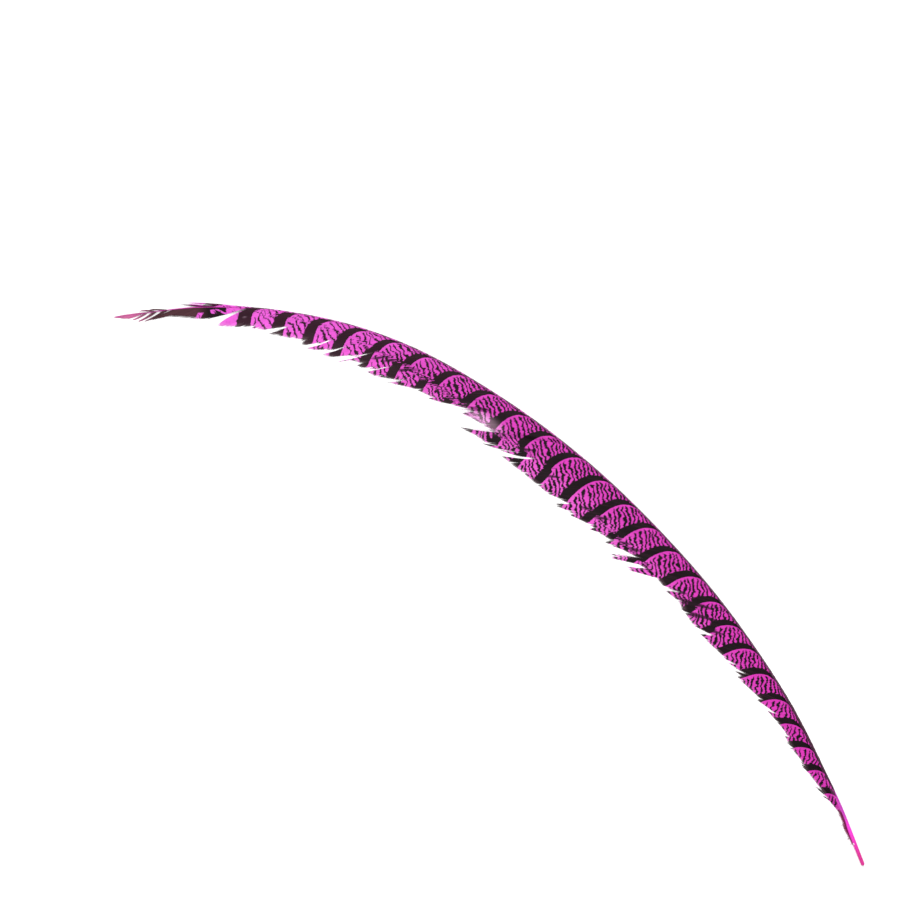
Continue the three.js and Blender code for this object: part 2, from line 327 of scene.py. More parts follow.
LINE_PITCH = 0.206  # fine lines for each millimetre along the shaft
LINE_LEAN = [(0, 0.237), (400, 0.237), (500, 0.16), (560, 0.09), (660, 0.09)]  # and outwards
LINE_SQUEEZE = (1.3, 2.6)  # and how many more crowd beside the shaft, over what distance
FAULT_OUT = [  # out, of a line beyond which the markings have slipped towards the tip
    (405, 18.5), (435, 14.5), (462, 11.8), (485, 9.8), (509, 5.9), (530, 3.9), (552, 2.6), (576, 1.3),
]
FAULT_SLIP = [(400, 0), (406, 9), (435, 8), (462, 5), (485, 2.2), (505, 1), (530, 1.2), (576, 1.5)]
FAULT_RAGGED = 2.2  # how far a barb's tone moves that line
OUTER_SLIPS = [  # station, out, slip towards the tip of what lies beyond, and how far along it holds
    (186, 12.5, -2, 9), (206, 13.5, -2.6, 10), (252, 21.5, 3.9, 9), (274, 21.5, 3.3, 9),
    (296, 21.5, 2, 9), (342, 18.2, -2.4, 9), (361, 18.8, -5, 9), (388, 19.8, -8.5, 18),
    (402, 19.8, -7.5, 9),
]
SLIPS_RAGGED = 1.5


def marking_place(place, out, jitter):
    """Where on the markings a point lies, along the shaft. Beyond a line that nears the shaft towards the tip
    the markings have slipped tipwards, and near some bars' ends they have slipped too, by a flat-topped bump
    along the shaft. The jitter moves where either starts."""
    edge = along(FAULT_OUT, place) + FAULT_RAGGED * jitter
    slip = along(FAULT_SLIP, place) * smooth(out, edge - 0.3, edge + 0.3) * (place > FAULT_SLIP[0][0])
    for station, start, amount, hold in OUTER_SLIPS:
        edge = start + SLIPS_RAGGED * jitter
        here = np.exp(-(((place - station) / hold) ** 4))
        slip = slip + amount * here * smooth(out, edge - 0.5, edge + 0.5)
    return place - slip


def arc(place, beyond):
    """How far a bar leans back towards the quill: two runs that die away with the distance from the feather's
    outer edge."""
    curve = along(ARC_RUN, place) * np.exp(-beyond / along(ARC_OUT, place))
    return curve + along(TAIL_RUN, place) * np.exp(-beyond / TAIL_OUT)


def bar_phase(place, out):
    """The bar's number, whole at its lower edge: the place along the shaft, plus what the bar leans back."""
    x, y = np.array(BARS, float).T
    x = x + arc(x, BAR_OUT + EDGE_OUT)
    leant = place + arc(place, np.maximum(out + EDGE_OUT, 0))
    before = np.minimum(leant - x[0], 0) * (y[1] - y[0]) / (x[1] - x[0])
    return along(np.stack([x, y], 1), leant) + before


def bar_share(place, out):
    """The share of the way to the next bar that is dark."""
    x, y = np.array(BARS, float).T
    gap = np.interp(place, x, np.gradient(x, y))
    widens, low, high = BAR_WIDENS
    return along(BAR_WIDTH, place) / gap * (1 + widens * smooth(out, low, high))


def line_phase(place, out):
    """The number of the fine line, which grows along the shaft and outwards, and faster beside the shaft."""
    beyond = np.maximum(out + EDGE_OUT, 0)
    crowd = LINE_SQUEEZE[0] * (1 - np.exp(-beyond / LINE_SQUEEZE[1]))
    return LINE_PITCH * place + along(LINE_LEAN, place) * out + crowd


WORN = [  # place, out, half sizes, how worn and the first root that it touches
    (396, 18.6, 14, 5.2, 1, 344.8), (372, 29, 4, 3, 0.5, 0), (262, 32, 5, 3, 0.4, 0),
    (573.9, 5.8, 0.9, 0.5, 1, 0),
]
# Painted shade in the gaps where the web has split between two barbs.
SHADED_CRACKS = [  # root, where the gap between two barbs begins and ends, outwards, and its half width
    (159.6, 10, 17, 1.6), (171.8, 6.5, 20.5, 1.9), (183.4, 6, 19, 2.3), (192.6, 12.5, 17, 1.6),
    (229, 16, 21, 1.8), (234.3, 17.5, 22, 1.3), (258.2, 16, 22, 1.5), (266.8, 18, 23, 1.3),
    (299, 17, 23, 1.3), (327, 14, 19.5, 1.6), (375.6, 9, 15.5, 2.4), (388, 8, 14, 1.3), (431, 10, 16, 1.6),
    (446, 8, 14, 1.3), (452, 9, 15, 1.4),
]


def wear_and_crack_shade(roots, place, out):
    """How faded a point is: the highest of some soft flat-topped patches. Along a split between two
    barbs, which widens outwards, it is below zero: painted shade in the gap."""
    fading = [k * (roots > r) * np.exp(-((((place - p) / a) ** 2 + ((out - o) / b) ** 2) ** 1.6))
            for p, o, a, b, k, r in WORN]
    crack_shades = []
    for root, low, high, half in SHADED_CRACKS:
        share = np.clip((out - low) / (high - low), 0, 1)
        across = (roots - root) / (half * (0.5 + share))
        crack_shades.append(np.exp(-(across**4)) * smooth(out, low, low + 2) * (1 - smooth(out, high, high + 1.5)))
    return np.maximum.reduce(fading) - np.maximum.reduce(crack_shades)


# ---- Barbs ----

UPWARD = np.array([0.0, 0.0, 1.0])
WIDE_ROOT = [(33, 0.9), (45, 0.75), (56, 0.5), (65, 0.15), (90, 0.2), (560, 0.35), (585, 0.9), (660, 0.9)]
NARROW_ROOT = [(52, 0.6), (65, 0.4), (560, 0.4), (590, 0.8)]  # both shares of the shaft's half width
SPLITS = [  # root where the web has come apart, out where that begins, lean of the tuft before it, its spread
    (59.5, 7.5, 0.6, 2), (79.5, 9, 0.8, 2), (96.5, 10, 1, 2.5), (105, 13, 0.5, 2), (121, 16, 0.5, 3),
    (125.5, 12.5, 1, 3), (131.5, 14, 0.8, 2), (154, 17, 1.2, 4), (191.5, 16, 1.4, 4), (209.5, 22, 1.5, 4),
    (220, 21.5, 1.5, 4), (235, 25, 1, 3), (269.5, 27, 1, 4), (317, 19.5, 1.2, 3), (328.5, 19.5, 4, 10),
    (345, 18.5, 4, 7), (371.5, 15.5, 1, 3), (375.5, 17.5, 0.8, 1.5), (391, 22, 0.8, 3),
    (417.5, 21.5, 1.5, 4), (437.5, 20.5, 1.5, 3), (459.3, 16, 2.5, 4), (475.5, 17, 1.5, 4), (489, 14, 2.5, 4),
    (525.5, 9, 2.5, 4), (553.5, 8.8, 1.2, 3),
]
BARB_SPACING = 0.5
NARROW_SPACING = 0.6
ROOT_JITTER = 0.12  # of the spacing
WIDE_COVER = 1.3  # a barb's width as a share of its spacing, so that the barbs overlap
NARROW_COVER = 2.1
NARROW_ANGLE = math.radians(24)  # between a narrow barb and the shaft
BARB_STEPS = 13  # between a barb's head and its tail
HEAD_STEPS = [0, 0.2, 0.45, 0.8, 1.3]  # millimetres from where it leaves the shaft
TAIL_STEPS = [1.7, 0.9, 0.4, 0]  # and from its end


def clumps(rng, count, smallest, largest):
    """Neighbouring barbs in bunches of a random size: each barb's bunch number."""
    sizes = rng.integers(smallest, largest + 1, count)
    return np.repeat(np.arange(count), sizes)[:count]


def bunch_middle(roots, bunch):
    """The mean root of each barb's bunch."""
    return (np.bincount(bunch, roots[:, 0]) / np.bincount(bunch))[bunch][:, None]


def scattered_roots(rng, start, end, spacing):
    """Even spacing along the shaft, but for a small random share of it."""
    roots = np.arange(start, end, spacing)[:, None]
    return roots + rng.uniform(-ROOT_JITTER, ROOT_JITTER, roots.shape) * spacing


def tapered(left, length, least):
    """1 along a barb, and less over its last stretch: the share of that length that is left, to a power."""
    return np.clip(left / length, least, 1) ** 0.8


def roof(s, out):
    """How far the shaft's rounded top lies above the height at which the vanes meet it: the height of the
    half-ellipse at that distance from the middle, and nothing beyond its side."""
    across = np.clip(np.abs(out) / along(SHAFT_HALF_WIDTH, s), 0, 1)
    return along(SHAFT_HALF_DEPTH, s) * np.maximum(np.sqrt(1 - across**2) - ATTACH, 0)


def spread_apart(roots, out, reach, splits, bunch, gather):
    """How far barbs are moved along the shaft: before each split they draw back a little and then lean
    towards the tip at their ends, by a parabola, less with the distance from the split. Near their ends they
    draw together too, towards the middle of their own bunch."""
    push = np.zeros_like(out)
    for station, start, lean_over, spread in splits:
        near = np.exp(-(((roots - station) / spread) ** 2)) * (roots < station)
        t = np.clip((out - start) / np.maximum(reach - start, 2), 0, 1)
        push = push + lean_over * near * (2 * t * t - t)
    return push + (bunch_middle(roots, bunch) - roots) * gather * smooth(out / reach, 0.82, 1.0)


def barb_steps(inner, reach):
    """Distances out along a barb, closer together where it leaves the shaft's roof and where it tapers to its
    end. On a short barb both of these shrink with it."""
    length = reach - inner
    size = np.minimum(length / 6, 1)
    head = size * np.array(HEAD_STEPS)
    tail = length - size * np.array(TAIL_STEPS)
    share = np.linspace(0, 1, BARB_STEPS + 2)[1:-1]
    between = head[:, -1:] * (1 - share) + tail[:, :1] * share
    return inner + np.hstack([head, between, tail])


def wide_barbs(rng, start, end, reach_knots, splits, marks, gather=0.14, fray=0.12):
    """The wide side's barbs between two stations. Each runs from the shaft's roof over its side, then along
    the sweep to its own reach, on the draped height, and tapers over its last millimetres. Bunches end a
    little further in or out, and a few loose barbs much more."""
    roots = scattered_roots(rng, start, end, BARB_SPACING)
    bunch = clumps(rng, len(roots), 8, 26)
    tone = rng.uniform(-1, 1, roots.shape)
    length = rng.normal(0, fray, bunch.max() + 1)[bunch][:, None] + rng.normal(0, 0.3 * fray, roots.shape)
    loose = (rng.random(roots.shape) < 0.03) * rng.uniform(-1.2, 1.4, roots.shape)
    half_width = along(SHAFT_HALF_WIDTH, roots)
    inner = along(WIDE_ROOT, roots) * half_width
    reach = stepwise(reach_knots, roots)
    reach = np.maximum(reach + (length + loose) * np.minimum(reach / 10, 1), half_width + 0.5)
    out = barb_steps(inner, reach)
    rest = roots + sweep(roots, out)
    place = rest + spread_apart(roots, out, reach, splits, bunch, gather)
    x, y = on_plan(place, out)
    lift = rng.uniform(-0.1, 0.12, bunch.max() + 1)[bunch][:, None] * smooth(out / reach, 0.3, 1)
    curl = np.abs(rng.normal(0, 0.2, roots.shape)) * smooth(out / reach, 0.8, 1)
    z = drape(roots, out) + 0.55 * SHEET + lift + curl + roof(roots, out)
    sine, cosine = lean(roots, out)
    taper = tapered(reach - out, 1.6, 0.12)
    half = 0.5 * BARB_SPACING * sine * WIDE_COVER * taper + 0.01
    rings = ribbon_rings(np.stack([x, y, z], -1), UPWARD, half, 0.03 + 0.03 * taper, 0.12)
    side = np.array([1, 0, -1, 0]) * half[..., None]
    spot_place = rest[..., None] - side * sine[..., None]
    spot_out = out[..., None] + side * cosine[..., None]
    return Tubes(rings, (spot_place, spot_out), left=(reach - out)[..., None],
                 **marks(roots, spot_place, spot_out, tone))


def barb_mark(roots, out, tone):
    """The barb's root, the distance out and the barb's tone, at each corner."""
    return np.stack([np.broadcast_to(roots[..., None], out.shape), out, tone], -1)


def barred_marks(roots, place, out, tone):
    """What a barb's corners carry: the marking's place, its fading and the painted shade along splits, the
    numbers of its bar and line, and the barb's root and tone."""
    tone = np.broadcast_to(tone[..., None], place.shape)
    moved = marking_place(place, out, tone) + 0.22 * tone
    slid = out + 0.3 * tone
    return {
        "spot": np.stack([moved, slid, wear_and_crack_shade(roots[..., None], place, out)], -1),
        "bars": np.stack([bar_phase(moved, slid), bar_share(moved, slid), line_phase(moved, slid)], -1),
        "barb": barb_mark(roots, out, tone),
    }


def narrow_barbs(rng):
    """The narrow side's barbs. Each leaves the shaft at a small angle and follows the narrow vane's slope,
    which steepens from level at the shaft to the pitch within its first millimetre: its way outwards and down
    is the sum of its small steps, each at its own pitch."""
    roots = scattered_roots(rng, NARROW_START, NARROW_END, NARROW_SPACING)
    tone = rng.uniform(-1, 1, roots.shape)
    bunch = clumps(rng, len(roots), 3, 8)
    half_width = along(SHAFT_HALF_WIDTH, roots)
    width = along(NARROW_WIDTH, roots) + 0.3 + 0.35 * half_width
    uneven = rng.normal(0, 0.025, bunch.max() + 1)[bunch][:, None] + rng.normal(0, 0.02, roots.shape)
    width = width * (1 + uneven)
    t = np.linspace(0, 1, 11)[None, :] ** 1.2
    w = width * t
    pitch = np.radians(along(NARROW_PITCH, roots + 3 * w)) * smooth(w, -0.5, 0.9)
    step = np.diff(w, axis=1, prepend=0)
    away = np.cumsum(step * np.cos(pitch), axis=1)
    down = np.cumsum(step * np.sin(pitch), axis=1)
    out = -(along(NARROW_ROOT, roots) * half_width + away)
    rest = roots + w / math.tan(NARROW_ANGLE)
    place = rest + (bunch_middle(roots, bunch) - roots) * 0.25 * smooth(t, 0.7, 1)
    x, y = on_plan(place, out)
    z = np.maximum(root_height(roots) + 0.05 + roof(roots, out) - down, 0.06)
    centre = np.stack([x, y, z], -1)
    fx, fy = on_plan(place, out - 1)
    outward = np.stack([fx - x, fy - y, np.zeros_like(x)], -1)
    normal = outward * np.sin(pitch)[..., None] + UPWARD * np.cos(pitch)[..., None]
    taper = tapered(width - w, 0.5, 0.1)
    sine = math.sin(NARROW_ANGLE)
    half = 0.5 * NARROW_SPACING * sine * NARROW_COVER * taper + 0.01
    rings = ribbon_rings(centre, normal, half, 0.025 + 0.025 * taper, -0.12)
    side = np.array([-1, 0, 1, 0]) * half[..., None]
    spot_place = rest[..., None] - side * sine
    spot_out = -(w[..., None] + side * math.cos(NARROW_ANGLE))
    return Tubes(rings, (spot_place, -spot_out), left=(width - w)[..., None] + 9,
                 **narrow_marks(roots, spot_place, spot_out, tone))


def narrow_marks(roots, place, out, tone):
    """As the wide side's, but darker, as the feather's outer edge is."""
    marks = barred_marks(roots, place, np.maximum(out, -EDGE_OUT), tone)
    marks["bars"][..., 1] = np.maximum(marks["bars"][..., 1], along(NARROW_DARK, place))
    return marks


def dark_marks(roots, place, out, tone):
    """As the wide side's, but dark all over."""
    marks = barred_marks(roots, place, out, tone)
    marks["bars"][..., 1] = 2
    return marks


def tuft_barbs(rng, tufts, marks):
    """Loose barbs in tufts. Each tuft is given by its first and last barb: their roots, the places where they
    end along the shaft and out from it, how far they bow, how many barbs there are and their half width. A
    barb runs straight from root to end but for the bow, a parabola, and comes down to the surface."""
    parts = []
    for root, other_root, place, other_place, out, other_out, bow, count, half_width in tufts:
        share = np.linspace(0, 1, count)[:, None]
        tone = rng.uniform(-1, 1, (count, 1))
        roots = root + (other_root - root) * share
        end_place = place + (other_place - place) * share + rng.normal(0, 0.25, (count, 1))
        end_out = out + (other_out - out) * share
        t = np.linspace(0, 1, 12)[None, :]
        inner = 0.6 * along(SHAFT_HALF_WIDTH, roots) * np.sign(end_out)
        ways_out = inner + (end_out - inner) * t + 4 * bow * np.sign(end_out) * t * (1 - t)
        ways_on = roots + (end_place - roots) * t
        x, y = on_plan(ways_on, ways_out)
        top = root_height(roots) + roof(roots, inner)
        z = top * (1 - t) ** 1.3 + 0.12 + rng.uniform(0, 0.25, (count, 1)) * t
        half = half_width * (0.7 + 0.3 * np.sin(np.pi * t)) * np.clip((1 - t) * 5, 0.2, 1)
        rings = ribbon_rings(np.stack([x, y, z], -1), UPWARD, half, 0.03 + 0.5 * half, 0.0)
        side = np.array([1, 0, -1, 0]) * half[..., None]
        spots = ways_on[..., None] - 0.4 * side, ways_out[..., None] + side
        parts.append(Tubes(rings, spots, left=9 - 8.5 * t[..., None], **marks(roots, *spots, tone)))
    return joined(parts)


# ---- Finishes ----


def colour(red, green, blue):
    """A colour given as it looks on a screen, 0 to 255, in the linear numbers that a shader takes."""
    c = np.array([red, green, blue]) / 255
    return (*np.where(c <= 0.04045, c / 12.92, ((c + 0.055) / 1.055) ** 2.4), 1.0)


class Value:
    """A socket of a finish's tree. The usual operators add Math nodes."""

    def __init__(self, finish, socket):
        self.finish = finish
        self.socket = socket

    def __add__(self, other):
        return self.finish.math("ADD", self, other)

    def __sub__(self, other):
        return self.finish.math("SUBTRACT", self, other)

    def __rsub__(self, other):
        return self.finish.math("SUBTRACT", other, self)

    def __neg__(self):
        return 0.0 - self

    def __mul__(self, other):
        return self.finish.math("MULTIPLY", self, other)

    __radd__ = __add__


class Finish:
    """A material, with one method that adds any node and a few short ones that use it."""

    def __init__(self, name):
        self.material = bpy.data.materials.new(name)
        self.material.use_nodes = True
        self.tree = self.material.node_tree
        self.tree.nodes.clear()

    def node(self, kind, settings=None, sockets=None, output=0):
        """Adds a node, sets its settings, fills its sockets with numbers or links, and gives one output."""
        made = self.tree.nodes.new(kind)
        for key, value in (settings or {}).items():
            setattr(made, key, value)
        for key, value in (sockets or {}).items():
            if isinstance(value, Value):
                self.tree.links.new(value.socket, made.inputs[key])
            else:
                made.inputs[key].default_value = value
        return Value(self, made.outputs[output]) if len(made.outputs) else None

    def math(self, operation, *values):
        """A Math node on these values."""
        return self.node("ShaderNodeMath", {"operation": operation}, dict(enumerate(values)))

    def ramp(self, value, low, high):
        """0 below low, 1 above high, smooth between them."""
        limits = {"Value": value, "From Min": low, "From Max": high}
        return self.node("ShaderNodeMapRange", {"interpolation_type": "SMOOTHSTEP"}, limits)

    def mix(self, share, first, second):
        """The first colour turning into the second as the share goes from 0 to 1."""
        return self.node("ShaderNodeMix", {"data_type": "RGBA"}, {0: share, 6: first, 7: second}, 2)

    def lighten(self, base, amount):
        """The colour with its value raised by a share."""
        return self.node("ShaderNodeHueSaturation", None, {"Color": base, "Value": amount + 1.0})

    def carried(self, name):
        """The three numbers of a point attribute, or the same one three times."""
        vector = self.node("ShaderNodeAttribute", {"attribute_name": name}, None, "Vector")
        return [self.node("ShaderNodeSeparateXYZ", None, {0: vector}, i) for i in range(3)]

    def noise(self, x, y, z=0.0, detail=2.0):
        """Smooth noise about 0, from about -0.5 to 0.5, one wave for each unit of x, y and z."""
        place = self.node("ShaderNodeCombineXYZ", None, {0: x, 1: y, 2: z})
        return self.node("ShaderNodeTexNoise", None, {"Vector": place, "Scale": 1.0, "Detail": detail}) - 0.5

    def end(self, base, roughness, normal=None, **uniform):
        """The shader, with what changes over the surface and the values that don't."""
        sockets = {"Base Color": base, "Roughness": roughness}
        sockets.update({key.replace("_", " "): value for key, value in uniform.items()})
        if normal is not None:
            sockets["Normal"] = normal
        shader = self.node("ShaderNodeBsdfPrincipled", None, sockets)
        self.node("ShaderNodeOutputMaterial", None, {"Surface": shader})
        return self.material

    def bump(self, height, distance, strength=0.5):
        """The normal over a fine relief, whose distance is in metres."""
        sockets = {"Height": height, "Distance": distance, "Strength": strength}
        return self.node("ShaderNodeBump", None, sockets)


FIELD_BASE = colour(195, 48, 162)
FIELD_MIDDLE = colour(197, 56, 168)
FIELD_END = colour(212, 86, 195)
FIELD_OUTER = colour(218, 96, 196)  # paler towards the vane's edge
FIELD_WORN = colour(230, 168, 220)
INK = colour(14, 1, 6)
INK_SHEEN = colour(45, 19, 33)
INK_END = colour(62, 26, 44)  # towards the tip it is browner
INK_OUTER = colour(84, 8, 58)  # along the feather's outer edge
INK_WORN = colour(134, 106, 122)
# The colour of the painted shade in the gaps between split barbs.
CRACK_SHADE = colour(26, 5, 18)
INK_EDGE = colour(98, 78, 84)  # where a barb ends


def vane_field(f, root, tone, along_barb):
    """The dye's colour: deep at the quill, bright at the tip, with streaks that follow the barbs."""
    base = f.mix(f.ramp(root, 60, 330), FIELD_BASE, FIELD_MIDDLE)
    base = f.mix(f.ramp(root, 350, 560), base, FIELD_END)
    base = f.mix(f.ramp(along_barb, 8, 28) * 0.6, base, FIELD_OUTER)
    streak = f.noise(root * 0.55, along_barb * 0.05) * 1.3 + tone * 0.16
    return f.lighten(base, streak * 0.34), streak


def web_shader(f, root, reach, base, rough):
    """The shader of the webs: hardly any shine, and fine fibres along the barbs."""
    fibres = f.noise(root * 2.2, reach * 0.3, 5.0)
    return f.end(base, rough, f.bump(fibres, 0.0002), Specular_IOR_Level=0.1)


def bar_and_lines(f, place, out, bars, share, lines):
    """How dark a point is: 1 in a bar and in the wavy lines. A line is dark within a distance of its middle
    that changes from place to place, so that it breaks and thickens, and is nothing just below the next bar.
    Its number is warped by two slow noises and a fast one, stretched along the lines' own way."""
    ragged = f.noise(place * 0.45, out * 0.45, 3.0)
    within = f.math("FRACT", bars + ragged * 0.025)
    tipside = share + f.noise(place * 0.5, out * 0.5, 9.0) * 0.1
    bar = f.ramp(tipside - within, -0.012, 0.012)
    run = place * 0.754 - out * 0.657
    cross = place * 0.657 + out * 0.754
    warp = f.noise(place * 0.12, out * 0.12, 17.0) * 1.6 + f.noise(run * 0.24, cross * 0.13, 23.0) * 1.7
    wave = f.math("FRACT", lines + warp + f.noise(run * 0.6, cross * 0.4, 41.0) * 0.5)
    ridge = f.math("ABSOLUTE", wave - 0.5) * 2.0
    heavy = 0.44 + f.ramp(place, 90, 170) * 0.06 + f.noise(place * 0.26, out * 0.26, 31.0)
    heavy = heavy * (1.0 - f.ramp(place, 440, 505) * 0.35)
    plain = f.ramp(1.0 - within, 0.03, 0.13) * (1.0 - f.ramp(place, 573, 579) * f.ramp(out, 0.5, 2.0))
    plain = plain * (1.0 - f.ramp(place, 592, 598))
    line = f.ramp(heavy * plain - ridge, -0.06, 0.06)
    return f.math("MAXIMUM", bar, line)


def barred_finish():
    """Dyed web: dark bars with a crisp lower edge and wavy lines between them. Where it is faded from use the
    dye has gone pale and the dark grey, and along the splits between barbs painted shade darkens it."""
    f = Finish("barred_web")
    # The third number is above zero where the web is worn and below zero where painted shade lies along a
    # split.
    place, out, fading = f.carried("spot")
    root, reach, tone = f.carried("barb")
    field, streak = vane_field(f, root, tone, reach)
    dark = bar_and_lines(f, place, out, *f.carried("bars"))
    ink = f.mix(f.ramp(streak, 0.0, 0.5), INK, INK_SHEEN)
    ink = f.mix(f.ramp(root, 300, 560) * 0.45, ink, INK_END)
    ink = f.mix(f.ramp(-out, 0.3, 1.2) * 0.6, ink, INK_OUTER)
    thin = 1.0 - f.ramp(f.carried("left")[0], 0.2, 3.0)
    ink = f.mix(thin * 0.6, ink, INK_EDGE)
    field = f.mix(thin * 0.3, field, FIELD_WORN)
    faded = f.math("MAXIMUM", fading, 0.0) * (0.8 + streak * 0.6)
    # Painted shade along the splits between barbs.
    crack_shade = f.math("MAXIMUM", -fading, 0.0)
    base = f.mix(dark, f.mix(faded, field, FIELD_WORN), f.mix(faded, ink, INK_WORN))
    base = f.mix(crack_shade * 0.9, base, CRACK_SHADE)
    return web_shader(f, root, reach, base, 0.6 + streak * 0.15 - dark * 0.1)


TIP_INK = colour(26, 12, 18)
BROWN = colour(74, 44, 50)
TIP_PINK = colour(186, 100, 144)
PINK_END = 586.2  # the tip's web is pink up to here, then black and brown with some pink patches
PINK_PATCHES = [  # place and out of the middle, run along the shaft for each millimetre out, half sizes
    (589.3, 3, -2, 1.2, 1.7), (594.8, 3.1, -0.4, 1.7, 1.3), (604.6, 6.1, 0.6, 1.9, 2.4),
]


def tip_marks(roots, place, out, tone):
    """What the tip's corners carry: how far inside the pink a point is, in millimetres, the number of its
    fine line and its own place."""
    tone = np.broadcast_to(tone[..., None], place.shape)
    moved = place + 0.2 * tone
    inside = [PINK_END - moved]
    for station, middle, run, long, wide in PINK_PATCHES:
        away = np.abs(moved - station - run * (out - middle))
        inside.append(np.minimum(long - away, wide - np.abs(out - middle)))
    return {
        "spot": np.stack([place, out, np.maximum.reduce(inside)], -1),
        "lines": line_phase(moved, out),
        "barb": barb_mark(roots, out, tone),
    }


def tip_finish():
    """The tip's web: pink with a few dark flecks at the split, then black, brown and a pinkish point."""
    f = Finish("tip_web")
    place, out, inside = f.carried("spot")
    lines = f.carried("lines")[0]
    root, reach, tone = f.carried("barb")
    field, streak = vane_field(f, root, tone, reach)
    brown = f.mix(f.ramp(place, 597, 607), TIP_INK, BROWN)
    brown = f.mix(f.ramp(place, 632, 650), brown, TIP_PINK)
    brown = f.lighten(brown, streak * 0.8)
    pink = f.ramp(inside + f.noise(place * 0.8, out * 0.8, 3.0) * 0.9, -0.2, 0.2)
    wave = f.math("FRACT", lines * 1.2 + f.noise(place * 0.3, out * 0.3, 8.0) * 2.0)
    ridge = f.math("ABSOLUTE", wave - 0.5) * 2.0
    fleck = f.ramp(0.1 + f.noise(place * 0.4, out * 0.4, 12.0) * 1.4 - ridge, -0.05, 0.08)
    base = f.mix(pink * (1.0 - fleck), brown, field)
    return web_shader(f, root, reach, base, 0.62 + streak * 0.15)


QUILL_END = colour(196, 30, 130)
QUILL_BRIGHT = colour(226, 50, 190)
DARK_BESIDE_DOWN = colour(120, 14, 80)  # darker colour on the quill's upper side beside the down
RACHIS = colour(180, 52, 168)
RACHIS_TIP = colour(190, 76, 160)
GLINT = (15.6, 0.8, 0.9, 0.45)  # station, turn round the quill and half sizes of its pale fleck
GLINT_PINK = colour(252, 232, 244)
COVERED = [(0, 2), (17, 1.7), (22.5, 1.3), (27, 1), (31, 0.5), (36, 0.3), (42, 0.4), (48, -0.4), (54, -1.2),
           (58, -1.8), (660, -2)]  # how far out the darker colour beside the down, and further on the web's dye, begins on the shaft


def quill_finish():
    """Dyed keratin: clear and glossy on the quill, with fine lengthwise streaks and one pale fleck. Along the
    rachis it is duller, its upper side carries the web's bars and lines on, and at first it is dark along the
    feather's outer edge."""
    f = Finish("quill_keratin")
    station, turn, out = f.carried("spot")
    bars, share, lines = f.carried("bars")
    cover = f.carried("cover")[0]
    base = f.mix(f.ramp(station, 4, 26), QUILL_END, QUILL_BRIGHT)
    base = f.mix(f.ramp(station, 26, 37), base, RACHIS)
    base = f.mix(f.ramp(station, 540, 600), base, RACHIS_TIP)
    streak = f.noise(station * 0.05, turn * 1.6) + f.noise(station * 0.25, turn * 3.0, 4.0) * 0.5
    base = f.lighten(base, streak * 0.35)
    along_glint = (station - GLINT[0]) * (1 / GLINT[2])
    round_glint = (turn - GLINT[1]) * (1 / GLINT[3])
    pale = f.ramp(1.0 - along_glint * along_glint - round_glint * round_glint, 0, 0.5)
    base = f.mix(pale * 0.95, base, GLINT_PINK)
    lift = f.math("SINE", turn)
    upper = f.ramp(lift, 0.1, 0.4)
    # On the upper side: darker beside the down at first, then the web's base colour.
    base = f.mix(cover * upper, base, f.mix(f.ramp(station, 37, 43), DARK_BESIDE_DOWN, FIELD_BASE))
    marked = cover * upper * f.ramp(station, 40, 46) * (1.0 - f.ramp(station, 572, 578))
    dark = bar_and_lines(f, station, out, bars, share, lines) * marked
    edge = f.ramp(-out, -0.1, 0.35) * f.ramp(lift, -0.3, 0.1)
    edge = edge * f.ramp(station, 50, 62) * (1.0 - f.ramp(station, 100, 140))
    base = f.mix(f.math("MAXIMUM", dark, edge) * 0.9, base, INK)
    rough = 0.3 + streak * 0.2 + f.ramp(station, 45, 90) * 0.25
    return f.end(base, rough, f.bump(streak, 0.0003, 0.3), Specular_IOR_Level=0.3, Subsurface_Weight=0.1,
                 Subsurface_Radius=(0.002, 0.001, 0.0015), Subsurface_Scale=1.0)


DOWN_DEEP = colour(112, 14, 72)
DOWN_PALE = colour(158, 84, 112)


def down_finish():
    """Matt brownish magenta fibres, paler towards their ends."""
    f = Finish("down")
    reach, tone, _ = f.carried("spot")
    base = f.mix(f.ramp(reach, 0.4, 1.0), DOWN_DEEP, DOWN_PALE)
    return f.end(f.lighten(base, tone * 0.25), 0.75, None, Specular_IOR_Level=0.15)


# ---- Pieces ----

SHAFT_CORNERS = 20
SHAFT_RINGS = 330
ROUNDED_END = 1.3  # length over which each end is rounded
GROOVE = 0.35  # its depth as a share of the shaft's half depth


def shaft_rings():
    """The shaft's section at each station: an ellipse on the quill, which narrows to a ridge on top and takes
    a groove below along the rachis. At both ends the rings shrink along a quarter circle."""
    body = np.linspace(ROUNDED_END, SHAFT_LENGTH - ROUNDED_END, SHAFT_RINGS)
    quarter = np.linspace(0.08, 1, 7)[:-1] * np.pi / 2
    rounded = ROUNDED_END * (1 - np.cos(quarter))
    stations = np.concatenate([rounded, body, SHAFT_LENGTH - rounded[::-1]])
    size = np.concatenate([np.sin(quarter), np.ones_like(body), np.sin(quarter[::-1])])
    s = stations[:, None]
    turn = 2 * np.pi * (np.arange(SHAFT_CORNERS) + 0.5)[None, :] / SHAFT_CORNERS - np.pi / 2
    lift = np.sin(turn)
    roof = along(SHAFT_ROOF, s)
    half = along(SHAFT_HALF_WIDTH, s) * size[:, None]
    depth = along(SHAFT_HALF_DEPTH, s) * size[:, None]
    sideways = half * np.cos(turn) * (1 - roof * np.maximum(lift, 0) ** 1.5)
    groove = GROOVE * smooth(s, 60, 120) * (1 - smooth(s, 560, 640))
    groove = groove * np.exp(-((sideways / (0.3 * half)) ** 2))
    upright = depth * (lift + groove * (lift < 0))
    x, y = on_plan(s, sideways)
    z = np.maximum(along(SHAFT_RISE, s) + upright, 0.01)
    return np.stack([x, y, z], -1)[None], s, turn, sideways


